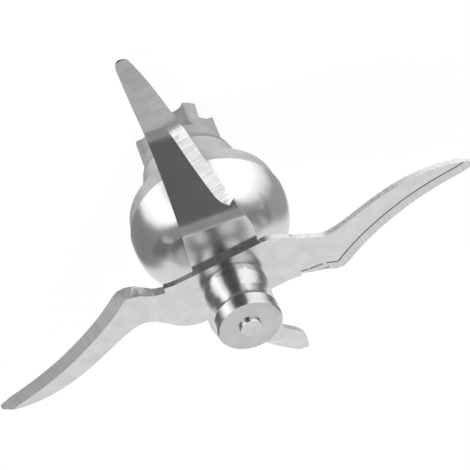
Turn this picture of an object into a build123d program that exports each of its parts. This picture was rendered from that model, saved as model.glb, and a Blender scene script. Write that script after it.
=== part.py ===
from build123d import *
from math import cos, radians, sin
import os

# Four-wing mixing knife of a food processor bowl, standing on its drive coupling.
# The shaft lies on Z and points up to the hub cap. Sizes are in millimetres.

# Fits and gaps
push_fit = 0.02
running_gap = 0.08
ball_gap = 0.04
face_gap = 0.5

# Drive coupling
coupling_height = 13.8
coupling_radius = 10.1
coupling_root_radius = 7.4
coupling_flare_start = 9.6
coupling_flare_radius = 11.6
coupling_flare_edge = 0.5
coupling_chamfer = 0.9
lobe_count = 6
lobe_rounding = 1.2
groove_radius = 4.6
groove_length = 8.4
groove_end_rise = 0.5
groove_phase = 26.0
screw_recess_radius = 4.4
screw_recess_depth = 4.2
screw_wall = 1.2
screw_clearance = 0.2

# Bearing housing
barrel_radius = 12.0
barrel_length = 12.4
barrel_chamfer = 0.6
flange_radius = 18.35
flange_top_radius = 19.05
flange_height = 5.0
flange_edge_radius = 0.5
spigot_wall_gap = 0.06
spigot_height = 2.0
turret_radius = 13.4
turret_flare = 2.2
turret_chamfer = 0.8

# Dome cover
dome_radius = 19.34
dome_wall = 0.8
dome_height = 13.0
dome_roundness = 2.85
dome_seam = 0.25
dome_hole_radius = 7.2
dome_to_blade = 6.3

# Bearings: bore radius, outer radius, width, ball radius and ball count
upper_bearing = dict(bore=4.0, outer=11.0, width=7.0, ball=1.98, count=7)
lower_bearing = dict(bore=4.0, outer=9.5, width=6.0, ball=1.6, count=7)
ring_edge = 0.3
shield_thickness = 0.3
shield_land = 0.6
bearing_inset = 2.6
spacer_length = 6.4
spacer_wall = 1.7
retaining_ring_thickness = 1.0
retaining_ring_groove = 0.5

# Shaft seal
seal_height = 3.9
seal_case_wall = 0.6
seal_lip_width = 0.5
garter_radius = 0.55

# Shaft
journal_radius = 4.0
drive_radius = 3.5
drive_flat = 3.0
collar_radius = 6.0
seat_radius = 7.9
seat_height = 3.4
blade_boss_radius = 4.5
blade_boss_flat = 3.6
stub_radius = 2.66
stub_rise = 0.8
stub_chamfer = 0.2

# Blade sheets
plate = 1.45
hub_half_width = 7.85
path_overrun = 6.0
bevel_stations = 28
bevel_lead_out = 3.0
bevel_shoulder = 0.12

# Upper blade, seen along its own length: folds, rise and tip
upper_angle = 10.3
upper_inner_fold = 17.0
upper_outer_fold = 20.6
upper_step = 1.3
upper_tip_rise = 0.5
upper_fold_radii = (3.0, 3.0)
upper_root = 10.0
upper_reach = 62.5
upper_sweep = 13.3

# Lower blade
lower_angle = 90.0
lower_half_width = 8.25
lower_first_fold = 19.6
lower_second_fold = 33.2
lower_drop = 18.3
lower_tip_drop = 3.4
lower_fold_radii = (4.0, 6.0)
lower_root = 13.0
lower_reach = 56.9

# Grinding: where it begins on the cutting edge, its width there, when full and at the tip,
# and the share of its run that it takes to grow full
upper_bevel = dict(begin=0.066, first=1.5, full=3.1, tip=3.3, growth=0.14)
lower_bevel = dict(begin=0.2, first=1.6, full=2.9, tip=3.9, growth=0.05)

# Hub cap
cap_height = 14.75
cap_foot_radius = 6.9
cap_base_radius = 7.65
cap_cone_radius = 6.95
cap_waist_radius = 6.55
cap_end_radius = 7.83
cap_cone_height = 6.2
cap_waist_height = 8.0
cap_rim_height = 11.7
cap_chamfer = 0.4

# Coupling screw
screw_head_radius = 3.5
screw_head_height = 2.6
screw_radius = 2.0
screw_length = 7.0
screw_hex = 3.0
screw_socket_depth = 1.6
washer_thickness = 0.8

# Heights up the shaft
barrel_bottom = coupling_height + face_gap
flange_bottom = barrel_bottom + barrel_length
flange_top = flange_bottom + flange_height
dome_top = flange_top + dome_height
lower_bearing_bottom = barrel_bottom + bearing_inset
lower_bearing_top = lower_bearing_bottom + lower_bearing["width"]
upper_bearing_bottom = lower_bearing_top + spacer_length
upper_bearing_top = upper_bearing_bottom + upper_bearing["width"]
turret_top = upper_bearing_top + seal_height + 0.2
blade_bottom = dome_top + dome_to_blade
upper_plate_bottom = blade_bottom + plate
cap_bottom = upper_plate_bottom + plate
cap_top = cap_bottom + cap_height
shaft_top = cap_top + stub_rise


def turned(points):
    """Solid of revolution about Z from radius and height pairs."""
    outline = Polyline(*[(r, 0, z) for r, z in points], close=True)
    return revolve(make_face(outline), Axis.Z)


def tube(outer, inner, bottom, height):
    """Plain ring about Z."""
    ring = Circle(outer) - Circle(inner)
    return extrude(Pos(0, 0, bottom) * ring, height)


def round_bar(radius, bottom, height):
    """Plain cylinder about Z."""
    return extrude(Pos(0, 0, bottom) * Circle(radius), height)


def flatted_bar(radius, flat, bottom, height):
    """Round bar with two flats across Y."""
    section = Circle(radius) & Rectangle(2 * radius + 1, 2 * flat)
    return extrude(Pos(0, 0, bottom) * section, height)


def ball_groove(pitch, radius, centre):
    """Ring-shaped cutter that leaves a ball track."""
    return Pos(0, 0, centre) * Torus(pitch, radius)


# Bearings

def bearing_pieces(spec, bottom):
    """Rings, balls, cage and shields of one deep-groove ball bearing."""
    bore = spec["bore"] + push_fit
    outer = spec["outer"] - push_fit
    width = spec["width"]
    ball = spec["ball"]
    pitch = (spec["bore"] + spec["outer"]) / 2
    centre = bottom + width / 2
    land = ball * 0.72
    track = ball_groove(pitch, ball + ball_gap, centre)

    inner = tube(pitch - land, bore, bottom, width)
    inner = chamfer(inner.edges().filter_by(GeomType.CIRCLE), ring_edge) - track
    outside = tube(outer, pitch + land, bottom, width)
    shield_seat = pitch + land + shield_land
    for level in (bottom, bottom + width - 2 * shield_thickness):
        outside -= tube(shield_seat, pitch, level, 2 * shield_thickness)
    outside -= track

    balls = []
    for turn in range(spec["count"]):
        angle = radians(360 * turn / spec["count"])
        balls.append(Pos(pitch * cos(angle), pitch * sin(angle), centre) * Sphere(ball))

    cage = tube(pitch + 0.45 * ball, pitch - 0.45 * ball, centre - 0.5 * ball, 1.85 * ball)
    for one in balls:
        cage -= Pos(one.center()) * Sphere(ball + ball_gap)

    shields = []
    for level in (bottom + 0.15, bottom + width - shield_thickness - 0.15):
        shields.append(tube(shield_seat - push_fit, pitch - land + 0.4, level, shield_thickness))
    return {
        "inner_ring": inner,
        "outer_ring": outside,
        "balls": Compound(children=balls),
        "cage": cage,
        "shields": Compound(children=shields),
    }


# Drive coupling

def make_coupling():
    """Six-lobed driver with a conical flare, recessed for its screw."""
    section = Circle(coupling_radius)
    for turn in range(lobe_count):
        angle = groove_phase + 360 * turn / lobe_count
        section -= Rot(0, 0, angle) * Pos(coupling_root_radius + groove_radius, 0) * Circle(groove_radius)
    section = fillet(section.vertices(), lobe_rounding)
    lobes = extrude(section, groove_length) & turned([
        (0, 0),
        (coupling_radius - coupling_chamfer, 0),
        (coupling_radius, 1.5 * coupling_chamfer),
        (coupling_radius, groove_length),
        (0, groove_length),
    ])
    body = lobes + turned([
        (0, 0),
        (coupling_root_radius - coupling_chamfer, 0),
        (coupling_root_radius, coupling_chamfer),
        (coupling_root_radius, groove_length - groove_end_rise),
        (coupling_radius, groove_length),
        (coupling_radius, coupling_flare_start),
        (coupling_flare_radius, coupling_height - coupling_flare_edge),
        (coupling_flare_radius - coupling_flare_edge, coupling_height),
        (0, coupling_height),
    ])
    body -= round_bar(screw_recess_radius, 0, screw_recess_depth)
    socket_bottom = screw_recess_depth + screw_wall
    body -= round_bar(screw_radius + screw_clearance, 0, socket_bottom)
    body -= flatted_bar(drive_radius + push_fit, drive_flat + push_fit, socket_bottom, coupling_height)
    return body


# Bearing housing

def make_housing():
    """Cast housing: flange band, barrel below it and bearing turret above it."""
    spigot_radius = dome_radius - dome_wall - spigot_wall_gap
    body = turned([
        (0, barrel_bottom),
        (barrel_radius - barrel_chamfer, barrel_bottom),
        (barrel_radius, barrel_bottom + barrel_chamfer),
        (barrel_radius, flange_bottom),
        (flange_radius, flange_bottom),
        (flange_top_radius, flange_top),
        (spigot_radius, flange_top),
        (spigot_radius, flange_top + spigot_height - 0.8),
        (spigot_radius - 0.8, flange_top + spigot_height),
        (turret_radius + turret_flare, flange_top + spigot_height),
        (turret_radius, flange_top + spigot_height + turret_flare / 2),
        (turret_radius, turret_top - turret_chamfer),
        (turret_radius - turret_chamfer, turret_top),
        (0, turret_top),
    ])
    body -= round_bar(lower_bearing["outer"], 0, lower_bearing_top)
    body -= round_bar(upper_bearing["outer"], upper_bearing_bottom, 60)
    body -= round_bar(lower_bearing["outer"] - 1.8, 0, 60)
    groove_bottom = lower_bearing_bottom - retaining_ring_thickness
    body -= tube(lower_bearing["outer"] + retaining_ring_groove, 5, groove_bottom, retaining_ring_thickness)
    flange_edges = body.edges().filter_by_position(Axis.Z, flange_bottom - 0.01, flange_bottom + 0.01)
    return fillet(flange_edges.sort_by(SortBy.RADIUS)[-1], flange_edge_radius)


# Dome cover

def dome_outline(radius, height):
    """Points of a bell-shaped dome, from its foot up to its hole."""
    points = []
    steps = 12
    for step in range(steps + 1):
        level = dome_seam + (height - dome_seam) * (step / steps) ** 0.8
        ratio = min(level / height, 1.0) ** dome_roundness
        r = radius * (1 - ratio) ** (1 / dome_roundness)
        if r > dome_hole_radius + 1.2:
            points.append((r, flange_top + level))
    return points


def make_dome():
    """Drawn bell cover that snaps over the housing's spigot."""
    outer = dome_outline(dome_radius, dome_height)
    inner = dome_outline(dome_radius - dome_wall, dome_height - dome_wall)
    outer_line = Spline(*[(r, 0, z) for r, z in outer])
    inner_line = Spline(*[(r, 0, z) for r, z in inner])
    outer_edge = (dome_hole_radius, 0, outer[-1][1] + 0.5)
    inner_edge = (dome_hole_radius, 0, outer[-1][1] + 0.5 - dome_wall)
    profile = [
        outer_line,
        Line(outer_line @ 1, outer_edge),
        Line(outer_edge, inner_edge),
        Line(inner_edge, inner_line @ 1),
        inner_line,
        Line(inner_line @ 0, outer_line @ 0),
    ]
    return revolve(make_face(profile), Axis.Z)


# Seal

def make_seal():
    """Rotary lip seal above the upper bearing: case, rubber lip and garter spring."""
    bottom = upper_bearing_top + 0.2
    outer = upper_bearing["outer"] - push_fit
    case = tube(outer, outer - seal_case_wall, bottom, seal_height)
    case += tube(outer, collar_radius + 2.4, bottom + seal_height - seal_case_wall, seal_case_wall)
    lip_inner = collar_radius + running_gap
    rubber_outer = outer - seal_case_wall
    rubber_top = bottom + seal_height - seal_case_wall
    garter_centre = (lip_inner + seal_lip_width + 1.1, bottom + 1.3)
    lip = turned([
        (rubber_outer, rubber_top),
        (rubber_outer, rubber_top - 0.9),
        (lip_inner + 2.6, rubber_top - 0.9),
        (lip_inner + 1.1, bottom + 0.3),
        (lip_inner + 0.3, bottom + 0.3),
        (lip_inner, bottom + 1.3),
        (lip_inner + 0.5, rubber_top - 0.4),
        (lip_inner + 0.5, rubber_top),
    ])
    spring = Pos(0, 0, garter_centre[1]) * Torus(garter_centre[0], garter_radius)
    lip -= Pos(0, 0, garter_centre[1]) * Torus(garter_centre[0], garter_radius + push_fit)
    return {"seal_case": case, "seal_lip": lip, "garter_spring": spring}


# Shaft, spacers and rings

def make_shaft():
    """Stepped shaft, seen from the drive end up to the stub in the cap."""
    drive_bottom = screw_recess_depth + screw_wall
    collar_bottom = upper_bearing_top
    seat_bottom = blade_bottom - seat_height
    body = flatted_bar(drive_radius, drive_flat, drive_bottom, coupling_height - drive_bottom)
    body += round_bar(journal_radius, coupling_height, collar_bottom - coupling_height)
    body += round_bar(collar_radius, collar_bottom, seat_bottom - collar_bottom)
    body += turned([
        (0, seat_bottom),
        (collar_radius, seat_bottom),
        (seat_radius, seat_bottom + 1.2),
        (seat_radius, blade_bottom),
        (0, blade_bottom),
    ])
    body += flatted_bar(blade_boss_radius, blade_boss_flat, blade_bottom, 2 * plate)
    body += round_bar(stub_radius, cap_bottom, shaft_top - cap_bottom)
    body -= round_bar(screw_radius, 0, drive_bottom + screw_length)
    ring_bottom = lower_bearing_bottom - retaining_ring_thickness
    ring_seat = journal_radius - retaining_ring_groove
    body -= tube(journal_radius + 1, ring_seat, ring_bottom, retaining_ring_thickness)
    return chamfer(body.edges().group_by(Axis.Z)[-1], stub_chamfer)


def retaining_ring(outer, inner, bottom, ears_outside):
    """Open spring ring with two eared ends."""
    ring = tube(outer, inner, bottom, retaining_ring_thickness)
    reach = (outer + inner) / 2
    ear_reach = reach + 0.7 if ears_outside else reach - 1.0
    for side in (-1, 1):
        angle = radians(90 + side * 13)
        ear = Pos(ear_reach * cos(angle), ear_reach * sin(angle), bottom) * Circle(1.15)
        hole = Pos(ear_reach * cos(angle), ear_reach * sin(angle), bottom) * Circle(0.5)
        ring += extrude(ear, retaining_ring_thickness)
        ring -= extrude(hole, retaining_ring_thickness)
    slot_width = 2 * reach * sin(radians(7))
    slot = Pos(0, reach, bottom) * Box(slot_width, 8, 4)
    return ring - slot


# Blades

def height_and_tilt(path, x):
    """Middle height and upward normal of the folded sheet at a distance from the shaft."""
    low, high = 0.0, 1.0
    for _ in range(30):
        middle = (low + high) / 2
        if path.position_at(middle).X < x:
            low = middle
        else:
            high = middle
    tangent = path.tangent_at(low)
    return path.position_at(low).Y, Vector(-tangent.Y, 0, tangent.X)


def folded_strip(path, half_width):
    """Sheet of even thickness along a folded middle line."""
    profile = make_face(offset(path, plate / 2, side=Side.LEFT))
    profile += make_face(offset(path, plate / 2, side=Side.RIGHT))
    return extrude(Plane.XZ * profile, half_width, both=True)


def wing_outline(lead, tip, back, half_width):
    """Flat outline of one wing and its half of the hub, the cutting edge towards -Y."""
    lead_line = Spline(*lead, tangents=((1, 0), tip["lead"]))
    back_line = Spline(*back, tangents=(tip["back"], (-1, 0)))
    wire = [
        Line((0, -half_width), lead[0]),
        lead_line,
        ThreePointArc(lead[-1], tip["point"], back[0]),
        back_line,
        Line(back[-1], (0, half_width)),
        Line((0, half_width), (0, -half_width)),
    ]
    return make_face(wire), lead_line


def wing_points(root, reach, sweep, percents):
    """Outline points from percents of the wing's free length and of its sweep."""
    free = reach - root
    return [(root + free * along / 100, sweep * across / 100) for along, across in percents]


def bevel_cutter(path, lead_line, bevel, side):
    """Solid that grinds one side of the cutting edge, lofted along the wing."""
    sections = []
    last = bevel_stations - 1
    for station in range(bevel_stations + 1):
        share = min(1.0, station / last)
        place = bevel["begin"] + (1 - bevel["begin"]) * share
        edge = lead_line.position_at(place)
        along = lead_line.tangent_at(place)
        if station > last:
            edge = edge + along * bevel_lead_out
        inward = Vector(-along.Y, along.X, 0)
        grown = min(1.0, share / bevel["growth"])
        full = bevel["full"] + (bevel["tip"] - bevel["full"]) * share
        inner = edge + inward * (bevel["first"] + (full - bevel["first"]) * grown)
        edge_height, edge_up = height_and_tilt(path, edge.X)
        inner_height, inner_up = height_and_tilt(path, inner.X)
        sharp = Vector(edge.X, edge.Y, edge_height)
        lip = Vector(inner.X, inner.Y, inner_height) + inner_up * side * (plate / 2 - bevel_shoulder)
        start = sharp - (lip - sharp) * 0.5
        lift = edge_up * side * 2.5
        sections.append(make_face(Polyline(start, lip, lip + lift, start + lift, close=True)))
    return loft(sections, ruled=True)


def make_blade(path, wings, bevel, half_width, middle_height, angle):
    """Two-wing blade: folded strip cut to outline, ground on both sides of each cutting edge."""
    blade = None
    for turn, wing in enumerate(wings):
        face, lead_line = wing_outline(wing["lead"], wing["tip"], wing["back"], half_width)
        half = folded_strip(path, 30) & extrude(Pos(0, 0, -40) * face, 80)
        for side in (-1, 1):
            half -= bevel_cutter(path, lead_line, bevel, side)
        half = Rot(0, 0, 180 * turn) * half
        blade = half if blade is None else blade + half
    blade = Pos(0, 0, middle_height) * Rot(0, 0, angle) * blade
    hole_radius = blade_boss_radius + push_fit
    hole_flat = blade_boss_flat + push_fit
    return blade - flatted_bar(hole_radius, hole_flat, middle_height - plate, 2 * plate)


def make_upper_blade():
    """Nearly flat blade with a small step beside the hub and S-shaped wings."""
    lead = wing_points(upper_root, upper_reach, upper_sweep, [
        (14.5, -74), (22.1, -95), (26.7, -100), (31.6, -90), (41.9, -63), (55.8, -36), (73.3, -12),
        (90.7, 1), (97.5, 7)])
    back = wing_points(upper_root, upper_reach, upper_sweep, [
        (98.3, 24), (91.6, 37), (78.5, 45), (63.0, 39), (45.7, 18), (33.3, 1), (25.9, -2), (19.6, 12),
        (12.6, 42)])
    tip = wing_points(upper_root, upper_reach, upper_sweep, [(100, 15)])[0]
    wing = {
        "lead": [(upper_root + 1, -hub_half_width)] + lead,
        "tip": {"lead": (1, 0.3), "point": tip, "back": (-1, 0.9)},
        "back": back + [(upper_root, hub_half_width)],
    }
    path = FilletPolyline(
        (0, 0),
        (upper_inner_fold, 0),
        (upper_outer_fold, upper_step),
        (upper_reach + path_overrun, upper_step + upper_tip_rise),
        radius=upper_fold_radii,
    )
    middle = upper_plate_bottom + plate / 2
    return make_blade(path, [wing, wing], upper_bevel, hub_half_width, middle, upper_angle)


def make_lower_blade():
    """Blade whose wings bend down past the dome and flatten again towards their tips."""
    shape = (lower_root, lower_reach, lower_half_width)
    root_lead = [(0, -100), (5.9, -96), (15.9, -78), (25.3, -53), (35.3, -28), (46.0, -5)]
    root_back = [(52.8, 107), (44.6, 103), (0, 100)]
    near = {
        "lead": wing_points(*shape, root_lead + [(58.8, 17), (73.8, 40), (85.2, 60), (94.8, 80)]),
        "tip": {"lead": (1, 0.4), "point": wing_points(*shape, [(98.6, 98)])[0], "back": (-1, -0.1)},
        "back": wing_points(*shape, [(94.3, 126), (82.2, 121), (66.7, 114)] + root_back),
    }
    far = {
        "lead": wing_points(*shape, root_lead + [(58.8, 18), (70.6, 36), (77.4, 48), (82.9, 64), (87.5, 85),
                                                 (93.8, 118), (99.3, 150)]),
        "tip": {"lead": (0.65, 0.75), "point": wing_points(*shape, [(100, 171)])[0], "back": (-1, 0.02)},
        "back": wing_points(*shape, [(99.1, 186), (94.3, 187), (87.9, 185), (83.4, 177), (78.8, 160),
                                     (74.5, 137), (70.4, 120), (63.8, 112)] + root_back),
    }
    path = FilletPolyline(
        (0, 0),
        (lower_first_fold, 0),
        (lower_second_fold, -lower_drop),
        (lower_reach + path_overrun, -lower_drop - lower_tip_drop),
        radius=lower_fold_radii,
    )
    middle = blade_bottom + plate / 2
    return make_blade(path, [near, far], lower_bevel, lower_half_width, middle, lower_angle)


# Hub cap and screw

def make_cap():
    """Turned bobbin-shaped cap with a waist, riveted over the shaft's stub."""
    neck_radius = cap_cone_radius - 0.15
    bore = stub_radius + push_fit
    waist = Spline((neck_radius, 0, cap_cone_height), (cap_waist_radius, 0, cap_waist_height),
                   (cap_end_radius, 0, cap_rim_height), tangents=((-0.5, 0, 1), (1, 0, 0.6)))
    outline = [
        Polyline((bore, 0, 0), (cap_foot_radius, 0, 0), (cap_foot_radius, 0, 0.35), (cap_base_radius, 0, 1.9),
                 (cap_base_radius, 0, 3.3), (cap_cone_radius, 0, 5.9), (neck_radius, 0, cap_cone_height)),
        waist,
        Polyline((cap_end_radius, 0, cap_rim_height), (cap_end_radius, 0, cap_height - cap_chamfer),
                 (cap_end_radius - cap_chamfer, 0, cap_height), (bore, 0, cap_height), (bore, 0, 0)),
    ]
    return Pos(0, 0, cap_bottom) * revolve(make_face(outline), Axis.Z)


def make_screw():
    """Socket-head screw that holds the coupling on the shaft."""
    head_top = screw_recess_depth - washer_thickness
    head = round_bar(screw_head_radius, head_top - screw_head_height, screw_head_height)
    socket = RegularPolygon(screw_hex / 2, 6, major_radius=False)
    head -= extrude(Pos(0, 0, head_top - screw_head_height) * socket, screw_socket_depth)
    shank_top = screw_recess_depth + screw_wall + screw_length - 0.6
    return head + round_bar(screw_radius - push_fit, head_top, shank_top - head_top)


# All pieces by name

def all_pieces():
    upper = bearing_pieces(upper_bearing, upper_bearing_bottom)
    lower = bearing_pieces(lower_bearing, lower_bearing_bottom)
    pieces = {
        "bearing_housing": make_housing(),
        "dome_cover": make_dome(),
        "shaft": make_shaft(),
        "hub_cap": make_cap(),
        "upper_blade": make_upper_blade(),
        "lower_blade": make_lower_blade(),
        "drive_coupling": make_coupling(),
        "coupling_screw": make_screw(),
        "screw_washer": tube(screw_recess_radius - 0.2, screw_radius + 0.1,
                             screw_recess_depth - washer_thickness, washer_thickness),
        "bearing_spacer": tube(journal_radius + spacer_wall, journal_radius + push_fit, lower_bearing_top,
                               spacer_length),
        "housing_retaining_ring": retaining_ring(
            lower_bearing["outer"] + retaining_ring_groove - push_fit, lower_bearing["outer"] - 1.1,
            lower_bearing_bottom - retaining_ring_thickness, False),
        "shaft_retaining_ring": retaining_ring(
            journal_radius + 1.2, journal_radius - retaining_ring_groove + push_fit,
            lower_bearing_bottom - retaining_ring_thickness, True),
    }
    pieces.update(make_seal())
    for name, piece in upper.items():
        pieces["upper_bearing_" + name] = piece
    for name, piece in lower.items():
        pieces["lower_bearing_" + name] = piece
    return pieces


os.makedirs("parts", exist_ok=True)
for node, solid in all_pieces().items():
    export_step(solid, f"parts/{node}.step")
    print(node, "volume", round(solid.volume, 1))
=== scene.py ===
import math

import bmesh
import bpy
from mathutils import Matrix, Vector


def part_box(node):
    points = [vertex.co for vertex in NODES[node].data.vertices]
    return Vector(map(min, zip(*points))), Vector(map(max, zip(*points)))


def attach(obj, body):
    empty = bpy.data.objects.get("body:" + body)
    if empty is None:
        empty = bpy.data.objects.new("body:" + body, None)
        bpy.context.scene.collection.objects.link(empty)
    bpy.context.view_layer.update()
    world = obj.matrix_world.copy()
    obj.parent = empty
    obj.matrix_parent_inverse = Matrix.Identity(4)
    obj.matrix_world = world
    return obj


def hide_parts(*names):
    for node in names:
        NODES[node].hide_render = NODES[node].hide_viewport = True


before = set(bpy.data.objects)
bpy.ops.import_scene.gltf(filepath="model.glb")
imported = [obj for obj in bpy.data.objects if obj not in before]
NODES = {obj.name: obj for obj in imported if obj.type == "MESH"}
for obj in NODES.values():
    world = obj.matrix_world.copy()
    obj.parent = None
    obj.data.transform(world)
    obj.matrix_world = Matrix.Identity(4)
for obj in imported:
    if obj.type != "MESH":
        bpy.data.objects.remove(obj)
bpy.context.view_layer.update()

MM = 0.001
SMOOTH_ANGLE = math.radians(24)
WELD = 0.002 * MM
SLIVER = WELD / 4

# Camera, measured from the photograph against the hub's top plane
HUB_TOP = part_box("hub_cap")[0].z
CAMERA_PLACE = Vector((-0.0251, 0.4388, HUB_TOP + 0.4088))
CAMERA_RIGHT = Vector((0.9437, -0.1945, 0.2676))
CAMERA_DOWN = Vector((-0.3273, -0.6672, 0.6691))
CAMERA_LENS = 196.7
CAMERA_SENSOR = 36.0
CAMERA_NEAR = 0.05
CAMERA_FAR = 20

# Blade directions
UPPER_ANGLE = math.radians(10.3)
UPPER_ACROSS = Vector((-math.sin(UPPER_ANGLE), math.cos(UPPER_ANGLE), 0))
UPPER_ALONG = Vector((math.cos(UPPER_ANGLE), math.sin(UPPER_ANGLE), 0))
LOWER_ANGLE = math.radians(90)
LOWER_ACROSS = Vector((1, 0, 0))
LOWER_ALONG = Vector((0, 1, 0))

# Dip of the upper wings against the solid, as slopes that start at two folds
INNER_FOLD = 17.0 * MM
OUTER_FOLD = 20.6 * MM
FOLD_WIDTH = 0.5 * MM
FOLD_STEPS = 4
DIP_SLOPE = -0.597
RISE_SLOPE = 0.654

# Upper blade's shoulder: the hub's half width and the curve that takes it into the wing's back
SHOULDER_CUTS = [step * 0.5 * MM for step in range(21, 34)]
SHOULDER_START = 10 * MM
SHOULDER_END = 17.2 * MM
SHOULDER_HALF = 7.85 * MM
SHOULDER_DROP = 5.3 * MM
SHOULDER_RUN = 8.93 * MM
SHOULDER_POWER = 2.1

# Material slots of a blade: the fourth is a painted shade line, and the fifth is a lit copy of the sheared
# edge that is painted lighter, used past the distance below
SHEET, BEVEL, EDGE, PAINTED_SHADE, LIT_EDGE = range(5)
LIT_EDGE_START = 16 * MM

# A blade's faces, told apart by the parts of their normals
UPRIGHT_HEIGHT = 0.12
UPRIGHT_LATERAL = 0.3
UPRIGHT_LENGTHWISE = 0.9
BEVEL_LATERAL = 0.1
EDGE_LATERAL = 0.6

# Painted shade line along the right wing's bevel: strip, and the rim edges that it follows
PAINTED_SHADE_HALF = 0.17 * MM
PAINTED_SHADE_RISE = 0.02 * MM
RIM_FACING_UP = 0.3
RIM_MOST_ACROSS = 0.65

# Coupling's lobes
LOBE_REACH = 10.1 * MM
LOBE_CHAMFER = 0.9 * MM
LOBE_CHAMFER_STRETCH = 1.5
LOBE_SLACK = 0.1 * MM
LOBE_TURN = math.radians(2)

# Range that the noise mostly stays in
NOISE_LOW = 0.3
NOISE_HIGH = 0.7

# Tent: level by direction round Z in degrees, then a roof above the shoulder
TENT_RADIUS = 2.0
TENT_SEGMENTS = 64
TENT_RINGS = 48
TENT_FLOOR = -0.0001
TENT_CENTRE = (0, 0, 0.04)
TENT_PEAK = 2.0
TENT_PANELS = ((-180, 0.30), (-140, 0.30), (-128, 1.0), (-48, 1.0), (-36, 0.42), (-12, 0.42), (10, 1.2),
               (24, 1.6), (68, 1.6), (74, 0.11), (118, 0.11), (128, 1.2), (146, 2.0), (162, 1.5), (176, 0.30),
               (180, 0.30))
TENT_SHOULDER = (math.radians(50), math.radians(73))
TENT_ROOF = 0.36

# Lamps: name, direction, distance, width and height in metres, power in watts
LAMP_AIM = Vector((0, 0, 0.045))
LAMPS = (
    ("lamp_left", (-0.85, 0.25, 0.45), 0.9, 0.5, 0.6, 7),
    ("lamp_right", (0.62, 0.72, 0.32), 0.9, 0.4, 0.5, 7),
    ("lamp_back", (0.1, -0.85, 0.6), 1.1, 0.9, 0.5, 5),
)

# Background
WHITE = (1, 1, 1, 1)
AMBIENT_LIGHT = 0.45
FLOOR_SIDE = 6.0
FLOOR_LEVEL = -0.0002
FLOOR_PAINT = (0.9, 0.9, 0.9, 1)
FLOOR_ROUGHNESS = 0.9
FLOOR_GLOW_SHARE = 0.93


# Node helpers

class Tree:
    """A node tree with a short call to add, set and join nodes."""

    def __init__(self, tree):
        self.nodes = tree.nodes
        self.links = tree.links

    def add(self, kind, inputs=None, **settings):
        """A node whose inputs each take a value or another node's output."""
        made = self.nodes.new(kind)
        for key, value in settings.items():
            setattr(made, key, value)
        for socket, value in (inputs or {}).items():
            if isinstance(value, bpy.types.NodeSocket):
                self.links.new(value, made.inputs[socket])
            else:
                made.inputs[socket].default_value = value
        return made


class Look(Tree):
    """A material whose tone, roughness and relief follow noise."""

    def __init__(self, name, metallic=1.0):
        self.material = bpy.data.materials.new(name)
        self.material.use_nodes = True
        super().__init__(self.material.node_tree)
        self.shader = self.nodes["Principled BSDF"]
        self.shader.inputs["Metallic"].default_value = metallic

    def coordinates(self, scale, turn=0.0):
        """Object coordinates, turned about Z and then stretched."""
        place = self.add("ShaderNodeTexCoord")
        turned = self.add("ShaderNodeMapping",
                          {"Vector": place.outputs["Object"], "Rotation": (0, 0, turn)})
        stretched = self.add("ShaderNodeMapping",
                             {"Vector": turned.outputs["Vector"], "Scale": scale})
        return stretched.outputs["Vector"]

    def noise(self, vector, detail, rough=0.55, scale=1.0):
        made = self.add("ShaderNodeTexNoise",
                        {"Vector": vector, "Scale": scale, "Detail": detail, "Roughness": rough})
        return made.outputs["Fac"]

    def grain(self, size, detail, rough=0.55):
        """Noise of one size, counted per metre, in every direction."""
        return self.noise(self.coordinates((size, size, size)), detail, rough)

    def ranged(self, value, low, high):
        """Noise spread between two levels."""
        made = self.add("ShaderNodeMapRange",
                        {"Value": value, "From Min": NOISE_LOW, "From Max": NOISE_HIGH,
                         "To Min": low, "To Max": high})
        return made.outputs["Result"]

    def tone(self, value, low, high):
        """Grey between two levels."""
        self.links.new(self.ranged(value, low, high), self.shader.inputs["Base Color"])

    def roughness(self, value, low, high):
        self.links.new(self.ranged(value, low, high), self.shader.inputs["Roughness"])

    def relief(self, *layers):
        """Fine relief; each layer is a value and the depth that it gives."""
        normal = None
        for value, depth in layers:
            made = self.add("ShaderNodeBump", {"Height": value, "Distance": depth, "Strength": 1.0})
            if normal is not None:
                self.links.new(normal, made.inputs["Normal"])
            normal = made.outputs["Normal"]
        self.links.new(normal, self.shader.inputs["Normal"])


# Materials

def sheet_face():
    """Polished rolled sheet with a soft mottle."""
    look = Look("sheet_face")
    mottle = look.grain(size=260, detail=2.0)
    polish = look.grain(size=2600, detail=3.0)
    look.tone(mottle, low=0.60, high=0.68)
    look.roughness(polish, low=0.19, high=0.25)
    look.relief((mottle, 0.002 * MM), (polish, 0.0015 * MM))
    return look.material


def ground_face(name, turn, tone):
    """Ground bevel: fine grinding marks across the cutting edge."""
    look = Look(name)
    marks = look.noise(look.coordinates((5200, 90, 90), turn), detail=4.0, rough=0.7)
    wear = look.grain(size=300, detail=2.0)
    look.tone(marks, *tone)
    look.roughness(wear, low=0.20, high=0.30)
    look.relief((marks, 0.004 * MM))
    return look.material


def sheared_edge(name, metallic):
    """Grainy edge left by the shear."""
    look = Look(name, metallic)
    grain = look.grain(size=1700, detail=5.0, rough=0.75)
    look.tone(grain, low=0.40, high=0.62)
    look.roughness(grain, low=0.22, high=0.40)
    look.relief((grain, 0.02 * MM))
    return look.material


def painted_shade_line():
    """Painted shade: a dark line along the bevel's rim, standing in for its shade and dark reflection."""
    look = Look("painted_shade_line")
    grain = look.grain(size=900, detail=3.0)
    look.tone(grain, low=0.10, high=0.20)
    look.roughness(grain, low=0.25, high=0.4)
    look.relief((grain, 0.002 * MM))
    return look.material


def drawn_polish():
    """Mirror-polished drawn cover."""
    look = Look("drawn_polish")
    broad = look.noise(look.coordinates((120, 120, 200)), detail=2.0)
    polish = look.grain(size=1800, detail=3.0)
    look.tone(broad, low=0.62, high=0.68)
    look.roughness(polish, low=0.17, high=0.24)
    look.relief((polish, 0.001 * MM))
    return look.material


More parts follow.
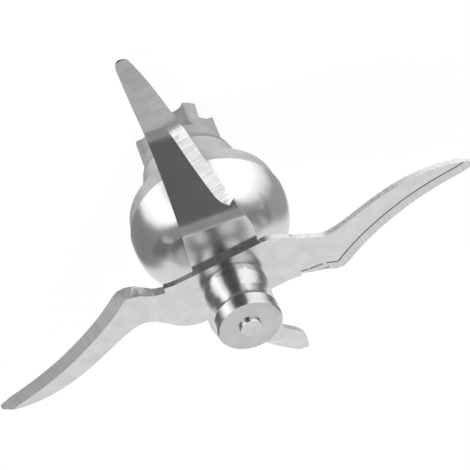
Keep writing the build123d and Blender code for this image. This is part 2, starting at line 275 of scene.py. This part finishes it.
def satin(name, tone, roughness, size, depth, metallic=1.0):
    """Satin or blasted metal with an even grain."""
    look = Look(name, metallic)
    grain = look.grain(size, detail=4.0, rough=0.65)
    broad = look.grain(size=180, detail=2.0)
    look.tone(broad, *tone)
    look.roughness(grain, *roughness)
    look.relief((grain, depth))
    return look.material


def turned_steel(name, tone, roughness, depth):
    """Lathe-turned steel with fine rings about the shaft's axis."""
    look = Look(name)
    place = look.add("ShaderNodeTexCoord")
    parts = look.add("ShaderNodeSeparateXYZ", {"Vector": place.outputs["Object"]})
    flat = look.add("ShaderNodeCombineXYZ", {"X": parts.outputs["X"], "Y": parts.outputs["Y"]})
    radius = look.add("ShaderNodeVectorMath", {0: flat.outputs["Vector"]}, operation="LENGTH")
    rings = look.add("ShaderNodeCombineXYZ", {"X": radius.outputs["Value"], "Y": parts.outputs["Z"]})
    lines = look.noise(rings.outputs["Vector"], detail=3.0, rough=0.6, scale=3200)
    broad = look.grain(size=250, detail=2.0)
    look.tone(broad, *tone)
    look.roughness(lines, *roughness)
    look.relief((lines, depth))
    return look.material


def rubber():
    """Dull black rubber of the seal."""
    look = Look("seal_rubber_look", metallic=0.0)
    grain = look.grain(size=900, detail=3.0)
    look.tone(grain, low=0.015, high=0.035)
    look.roughness(grain, low=0.5, high=0.75)
    look.relief((grain, 0.01 * MM))
    return look.material


# Shapes that the solids lack

def soft_bend(distance, width):
    """A bend's lift: none before it, straight after it, round within its width."""
    if distance < -width:
        return 0.0
    if distance > width:
        return distance
    return (distance + width) ** 2 / (4 * width)


def hub_shoulder(along):
    """Half width of the hub where it curves into the wing's back."""
    run = max(0.0, along - SHOULDER_START) / SHOULDER_RUN
    return SHOULDER_HALF - SHOULDER_DROP * run ** SHOULDER_POWER


def shape_wings(work):
    """Rounds the upper blade's shoulders, then dips its wings."""
    cuts = list(SHOULDER_CUTS)
    for fold in (INNER_FOLD, OUTER_FOLD):
        cuts += [fold + step * FOLD_WIDTH / FOLD_STEPS for step in range(-FOLD_STEPS, FOLD_STEPS + 1)]
    for side in (-1, 1):
        for cut in cuts:
            geometry = work.verts[:] + work.edges[:] + work.faces[:]
            bmesh.ops.bisect_plane(work, geom=geometry, plane_co=UPPER_ALONG * side * cut,
                                   plane_no=UPPER_ALONG, dist=WELD)
    for vertex in work.verts:
        side = 1 if vertex.co.dot(UPPER_ALONG) > 0 else -1
        along = side * vertex.co.dot(UPPER_ALONG)
        across = side * vertex.co.dot(UPPER_ACROSS)
        if SHOULDER_START < along < SHOULDER_END and across > hub_shoulder(along):
            vertex.co += UPPER_ACROSS * side * (hub_shoulder(along) - across)
        vertex.co.z += (DIP_SLOPE * soft_bend(along - INNER_FOLD, FOLD_WIDTH)
                        + RISE_SLOPE * soft_bend(along - OUTER_FOLD, FOLD_WIDTH))


def square_lobes(work):
    """Fills the lobes' chamfer up to a crisp end face, then turns the coupling a little."""
    inner_reach = LOBE_REACH - LOBE_CHAMFER - LOBE_SLACK
    chamfer_top = LOBE_CHAMFER_STRETCH * LOBE_CHAMFER
    for vertex in work.verts:
        reach = math.hypot(vertex.co.x, vertex.co.y)
        if reach > inner_reach and vertex.co.z < chamfer_top:
            filled = reach + LOBE_CHAMFER - vertex.co.z / LOBE_CHAMFER_STRETCH
            grown = min(LOBE_REACH, filled) / reach
            vertex.co.x *= grown
            vertex.co.y *= grown
    bmesh.ops.rotate(work, verts=work.verts, cent=(0, 0, 0), matrix=Matrix.Rotation(LOBE_TURN, 3, "Z"))


def beside_bevel(edge):
    """Whether an edge of the sheet's upper face runs along a bevel or the low step before it."""
    first, second = edge.link_faces
    if first.material_index != SHEET:
        first, second = second, first
    if first.material_index != SHEET or second.material_index == SHEET:
        return False
    if first.normal.z < RIM_FACING_UP:
        return False
    near = {face for part in second.edges for face in part.link_faces}
    if second.material_index != BEVEL:
        near |= {face for wall in near if wall.material_index in (EDGE, LIT_EDGE)
                 for part in wall.edges for face in part.link_faces}
    return any(face.material_index == BEVEL and face.normal.z > 0 for face in near)


def runs_lengthwise(edge, across, along):
    """Whether an edge is on the wing towards +along and doesn't cross it."""
    if edge.calc_length() <= WELD or edge.verts[0].co.dot(along) <= 0:
        return False
    step = (edge.verts[0].co - edge.verts[1].co).normalized()
    return abs(step.dot(across)) < RIM_MOST_ACROSS


def line_painted_shade(work, slot, across, along):
    """A narrow dark strip of painted shade where the bevel of the wing towards +along meets the sheet's face.
    """
    rim = [edge for edge in work.edges if len(edge.link_faces) == 2 and beside_bevel(edge)
           and runs_lengthwise(edge, across, along)]
    outward = {}
    upright = {}
    for edge in rim:
        sheet = min(edge.link_faces, key=lambda face: face.material_index)
        step = (edge.verts[0].co - edge.verts[1].co).normalized()
        away = step.cross(sheet.normal).normalized()
        if away.dot(sheet.calc_center_median() - edge.verts[0].co) > 0:
            away = -away
        for vertex in edge.verts:
            outward[vertex] = outward.get(vertex, Vector()) + away
            upright[vertex] = upright.get(vertex, Vector()) + sheet.normal
    for edge in rim:
        inner = []
        outer = []
        for vertex in edge.verts:
            middle = vertex.co + upright[vertex].normalized() * PAINTED_SHADE_RISE
            half = outward[vertex].normalized() * PAINTED_SHADE_HALF
            inner.append(middle - half)
            outer.append(middle + half)
        corners = [work.verts.new(place) for place in (inner[0], inner[1], outer[1], outer[0])]
        strip = work.faces.new(corners)
        strip.normal_update()
        if strip.normal.z < 0:
            strip.normal_flip()
        strip.material_index = slot
        strip.smooth = True


# Pieces

def dressed(node, body, materials, sort_face=None, reshape=None, painted_shade=None):
    """Puts a welded, smoothly shaded copy with its own materials in a CAD node's place."""
    mesh = NODES[node].data.copy()
    mesh.materials.clear()
    for material in materials:
        mesh.materials.append(material)
    work = bmesh.new()
    work.from_mesh(mesh)
    bmesh.ops.remove_doubles(work, verts=work.verts, dist=WELD)
    bmesh.ops.dissolve_degenerate(work, edges=work.edges, dist=SLIVER)
    if reshape:
        reshape(work)
    work.normal_update()
    for face in work.faces:
        face.smooth = True
        face.material_index = sort_face(face) if sort_face else 0
    if painted_shade:
        line_painted_shade(work, *painted_shade)
    for edge in work.edges:
        faces = edge.link_faces
        sharp = len(faces) != 2 or faces[0].normal.angle(faces[1].normal, 0) > SMOOTH_ANGLE
        sharp = sharp or faces[0].material_index != faces[1].material_index
        edge.smooth = not sharp
    work.to_mesh(mesh)
    work.free()
    if mesh.has_custom_normals:
        mesh.attributes.remove(mesh.attributes["custom_normal"])
    piece = bpy.data.objects.new(node + "_look", mesh)
    bpy.context.scene.collection.objects.link(piece)
    weighted = piece.modifiers.new("even_shading", "WEIGHTED_NORMAL")
    weighted.keep_sharp = True
    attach(piece, body)
    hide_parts(node)


def blade_sorter(across, along, lit_start=math.inf):
    """Finds a blade face's material slot from its normal and its distance along the blade."""
    def sort_face(face):
        lateral = abs(face.normal.dot(across))
        lengthwise = abs(face.normal.dot(along))
        # Past the start distance the sheared edge takes its lit copy, painted lighter
        edge = LIT_EDGE if abs(face.calc_center_median().dot(along)) > lit_start else EDGE
        upright = abs(face.normal.z) < UPRIGHT_HEIGHT
        if upright and (lateral > UPRIGHT_LATERAL or lengthwise > UPRIGHT_LENGTHWISE):
            return edge
        if BEVEL_LATERAL < lateral < EDGE_LATERAL:
            return BEVEL
        return edge if lateral >= EDGE_LATERAL else SHEET
    return sort_face


def dress_blades():
    """Both blades: rolled faces, ground bevels, sheared edges with a lit copy painted lighter on the upper
    wings, and the right wing's painted shade line.
    """
    face = sheet_face()
    upper_bevel = ground_face("upper_bevel", -UPPER_ANGLE, tone=(0.44, 0.70))
    lower_bevel = ground_face("lower_bevel", -LOWER_ANGLE, tone=(0.50, 0.80))
    edge = sheared_edge("sheared_edge", metallic=1.0)
    # Painted light: a lit copy of the sheared edge, less metallic so that it shows lighter on the wings than
    # by the hub
    lit_edge = sheared_edge("sheared_lit_edge", metallic=0.55)
    dressed("upper_blade", "rotor", [face, upper_bevel, edge, painted_shade_line(), lit_edge],
            blade_sorter(UPPER_ACROSS, UPPER_ALONG, LIT_EDGE_START), shape_wings,
            (PAINTED_SHADE, UPPER_ACROSS, UPPER_ALONG))
    dressed("lower_blade", "rotor", [face, lower_bevel, edge], blade_sorter(LOWER_ACROSS, LOWER_ALONG))


def dress_rest():
    """The other pieces that show, then the ones inside, which keep their own meshes."""
    spun = turned_steel("cap_turned", tone=(0.50, 0.57), roughness=(0.16, 0.28), depth=0.003 * MM)
    machined = turned_steel("shaft_turned", tone=(0.58, 0.66), roughness=(0.18, 0.30), depth=0.002 * MM)
    band = satin("housing_satin", tone=(0.33, 0.38), roughness=(0.45, 0.58), size=2500,
                 depth=0.006 * MM, metallic=0.5)
    blasted = satin("coupling_blasted", tone=(0.27, 0.33), roughness=(0.58, 0.7), size=2200,
                    depth=0.015 * MM, metallic=0.35)
    spring = satin("spring_dark", tone=(0.12, 0.18), roughness=(0.3, 0.45), size=2000, depth=0.004 * MM)
    pressed = satin("pressed_sheet", tone=(0.5, 0.58), roughness=(0.25, 0.4), size=1500, depth=0.003 * MM)
    dressed("dome_cover", "housing", [drawn_polish()])
    dressed("bearing_housing", "housing", [band])
    dressed("drive_coupling", "rotor", [blasted], reshape=square_lobes)
    dressed("hub_cap", "rotor", [spun])
    dressed("shaft", "rotor", [machined])
    finish = {
        "coupling_screw": machined, "screw_washer": machined, "bearing_spacer": machined,
        "housing_retaining_ring": spring, "shaft_retaining_ring": spring,
        "garter_spring": spring, "seal_case": pressed, "seal_lip": rubber(),
    }
    for where in ("upper", "lower"):
        for piece in ("inner_ring", "outer_ring", "balls"):
            finish[f"{where}_bearing_{piece}"] = machined
        for piece in ("cage", "shields"):
            finish[f"{where}_bearing_{piece}"] = pressed
    for node, material in finish.items():
        mesh = NODES[node].data
        mesh.materials.clear()
        mesh.materials.append(material)


# Studio

def studio_piece(name, work):
    mesh = bpy.data.meshes.new(name)
    work.to_mesh(mesh)
    work.free()
    made = bpy.data.objects.new(name, mesh)
    bpy.context.scene.collection.objects.link(made)
    return made


def seen_on_sight(tree):
    """1 on rays that look at the background, straight or in metal or glass."""
    path = tree.add("ShaderNodeLightPath")
    first = tree.add("ShaderNodeMath", {0: path.outputs["Is Camera Ray"], 1: path.outputs["Is Glossy Ray"]},
                     operation="ADD")
    second = tree.add("ShaderNodeMath", {0: first.outputs[0], 1: path.outputs["Is Transmission Ray"]},
                      operation="ADD", use_clamp=True)
    return second.outputs[0]


def make_world():
    """White on sight, and a weaker even light on the part."""
    world = bpy.data.worlds.new("studio")
    bpy.context.scene.world = world
    world.use_nodes = True
    tree = Tree(world.node_tree)
    tree.nodes.clear()
    ambient = tree.add("ShaderNodeBackground", {"Color": WHITE, "Strength": AMBIENT_LIGHT})
    white = tree.add("ShaderNodeBackground", {"Color": WHITE, "Strength": 1.0})
    choose = tree.add("ShaderNodeMixShader",
                      {0: seen_on_sight(tree), 1: ambient.outputs[0], 2: white.outputs[0]})
    tree.add("ShaderNodeOutputWorld", {"Surface": choose.outputs[0]})


def make_floor():
    """White floor that glows on sight, so that the part's shade on it stays faint."""
    work = bmesh.new()
    bmesh.ops.create_grid(work, x_segments=1, y_segments=1, size=FLOOR_SIDE / 2,
                          matrix=Matrix.Translation((0, 0, FLOOR_LEVEL)))
    made = studio_piece("floor", work)
    material = bpy.data.materials.new("floor_white")
    material.use_nodes = True
    tree = Tree(material.node_tree)
    paint = tree.nodes["Principled BSDF"]
    paint.inputs["Base Color"].default_value = FLOOR_PAINT
    paint.inputs["Roughness"].default_value = FLOOR_ROUGHNESS
    glow = tree.add("ShaderNodeEmission", {"Strength": 1.0})
    share = tree.add("ShaderNodeMath", {0: seen_on_sight(tree), 1: FLOOR_GLOW_SHARE}, operation="MULTIPLY")
    choose = tree.add("ShaderNodeMixShader", {0: share.outputs[0], 1: paint.outputs[0], 2: glow.outputs[0]})
    tree.links.new(choose.outputs[0], tree.nodes["Material Output"].inputs["Surface"])
    made.data.materials.append(material)


def tent_light():
    """Light by direction: panels round Z, blended into the roof overhead."""
    material = bpy.data.materials.new("tent_panels")
    material.use_nodes = True
    tree = Tree(material.node_tree)
    tree.nodes.clear()
    place = tree.add("ShaderNodeNewGeometry")
    offset = tree.add("ShaderNodeVectorMath", {0: place.outputs["Position"], 1: TENT_CENTRE},
                      operation="SUBTRACT")
    direction = tree.add("ShaderNodeVectorMath", {0: offset.outputs["Vector"]}, operation="NORMALIZE")
    parts = tree.add("ShaderNodeSeparateXYZ", {"Vector": direction.outputs["Vector"]})
    azimuth = tree.add("ShaderNodeMath", {0: parts.outputs["Y"], 1: parts.outputs["X"]},
                       operation="ARCTAN2")
    share = tree.add("ShaderNodeMapRange",
                     {"Value": azimuth.outputs[0], "From Min": -math.pi, "From Max": math.pi})
    panels = tree.add("ShaderNodeValToRGB", {"Fac": share.outputs["Result"]})
    panels.color_ramp.interpolation = "EASE"
    stops = panels.color_ramp.elements
    stops.remove(stops[-1])
    for number, (degrees, level) in enumerate(TENT_PANELS):
        position = (degrees + 180) / 360
        stop = stops[0] if number == 0 else stops.new(position)
        stop.position = position
        stop.color = (level / TENT_PEAK, level / TENT_PEAK, level / TENT_PEAK, 1)
    overhead = tree.add("ShaderNodeMapRange",
                        {"Value": parts.outputs["Z"], "From Min": math.sin(TENT_SHOULDER[0]),
                         "From Max": math.sin(TENT_SHOULDER[1])}, interpolation_type="SMOOTHSTEP")
    level = tree.add("ShaderNodeMix", {"Factor": overhead.outputs["Result"], "A": panels.outputs["Color"],
                                       "B": TENT_ROOF / TENT_PEAK})
    glow = tree.add("ShaderNodeEmission", {"Color": level.outputs["Result"], "Strength": TENT_PEAK})
    tree.add("ShaderNodeOutputMaterial", {"Surface": glow.outputs[0]})
    return material


def make_tent():
    """Half ball of bright and dark panels round the part, that only shows in reflections."""
    work = bmesh.new()
    bmesh.ops.create_uvsphere(work, u_segments=TENT_SEGMENTS, v_segments=TENT_RINGS, radius=TENT_RADIUS)
    for vertex in work.verts:
        vertex.co.z = max(vertex.co.z, TENT_FLOOR)
    tent = studio_piece("tent", work)
    tent.visible_camera = False
    tent.visible_diffuse = False
    tent.visible_shadow = False
    tent.visible_transmission = False
    tent.data.materials.append(tent_light())


def make_lamp(name, direction, distance, width, height, power):
    """Softbox that lights the part without showing in it."""
    light = bpy.data.lights.new(name, "AREA")
    light.shape = "RECTANGLE"
    light.size = width
    light.size_y = height
    light.energy = power
    made = bpy.data.objects.new(name, light)
    bpy.context.scene.collection.objects.link(made)
    made.location = LAMP_AIM + Vector(direction).normalized() * distance
    made.rotation_euler = (LAMP_AIM - made.location).to_track_quat("-Z", "Y").to_euler()
    made.visible_camera = False
    made.visible_glossy = False


def make_camera():
    """The photograph's camera, set square from its measured right and down directions."""
    data = bpy.data.cameras.new("camera")
    data.lens = CAMERA_LENS
    data.sensor_width = CAMERA_SENSOR
    data.sensor_fit = "HORIZONTAL"
    data.clip_start = CAMERA_NEAR
    data.clip_end = CAMERA_FAR
    made = bpy.data.objects.new("camera", data)
    bpy.context.scene.collection.objects.link(made)
    right = CAMERA_RIGHT.normalized()
    back = right.cross(-CAMERA_DOWN).normalized()
    up = back.cross(right)
    turn = Matrix((right, up, back)).transposed().to_4x4()
    made.matrix_world = Matrix.Translation(CAMERA_PLACE) @ turn
    bpy.context.scene.camera = made


dress_blades()
dress_rest()
make_world()
make_floor()
make_tent()
for lamp in LAMPS:
    make_lamp(*lamp)
make_camera()
bpy.context.scene.view_settings.view_transform = "Standard"
